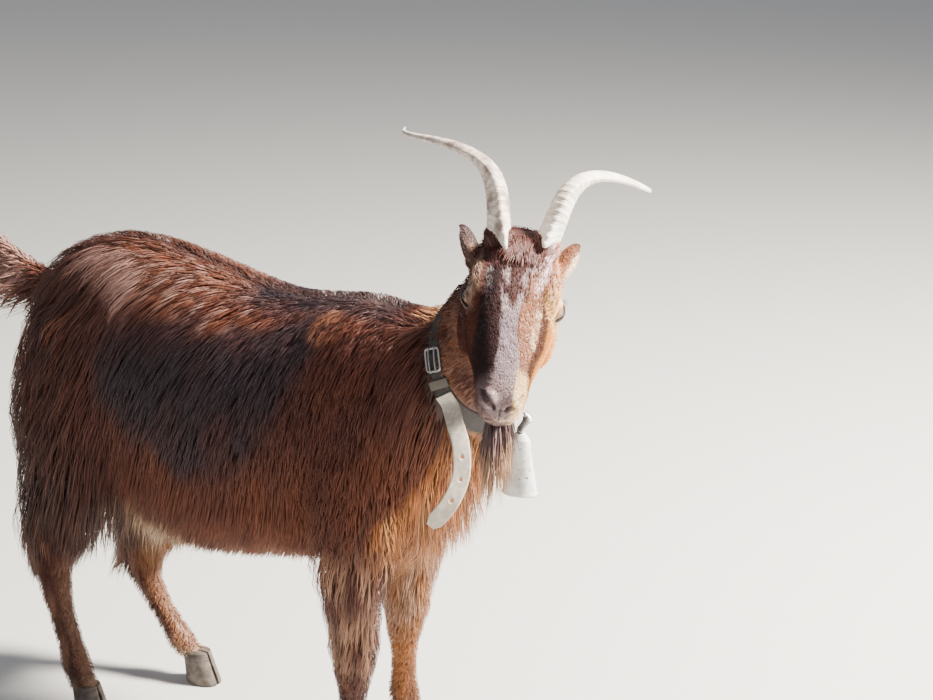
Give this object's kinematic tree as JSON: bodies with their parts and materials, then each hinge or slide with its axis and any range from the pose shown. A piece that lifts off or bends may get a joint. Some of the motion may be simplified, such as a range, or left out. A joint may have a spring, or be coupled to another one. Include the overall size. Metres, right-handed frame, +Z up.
{
  "type": "alpine goat museum model",
  "caption": "Life-size still model of a long-haired horned alpine goat, standing with its head turned, with collar and bell.",
  "frame": {"origin": "on the floor plane, under the middle of the whole model's box", "axes": "+X towards the front of the body, +Y to the animal's left, +Z up"},
  "size_m": [1.1614, 0.4708, 0.9533],
  "materials": {
    "coat": "long glossy hair, dark red-brown with near-black patches",
    "eye": "wet amber iris with a level slot pupil",
    "horn": "ringed grey-tan horn",
    "hoof": "dark horn, lightly worn",
    "collar": "dark worn leather",
    "strap": "pale cream strap with punched holes",
    "buckle": "dull steel",
    "bell": "white paint, slightly chipped",
    "clapper": "dark iron"
  },
  "bodies": {
    "root": {"torso": "coat", "neck": "coat", "head": "coat", "tail": "coat", "foreleg_left": "coat", "foreleg_right": "coat", "hind_leg_left": "coat", "hind_leg_right": "coat", "ear_left": "coat", "ear_right": "coat", "eye_left": "eye", "eye_right": "eye", "horn_left": "horn", "horn_right": "horn", "forehoof_left": "hoof", "forehoof_right": "hoof", "hind_hoof_left": "hoof", "hind_hoof_right": "hoof", "collar": "collar", "strap_end": "strap", "buckle_frame": "buckle", "buckle_keeper": "buckle", "bell": "bell", "bell_clapper": "clapper", "bell_hanger": "buckle"}
  },
  "joints": []
}
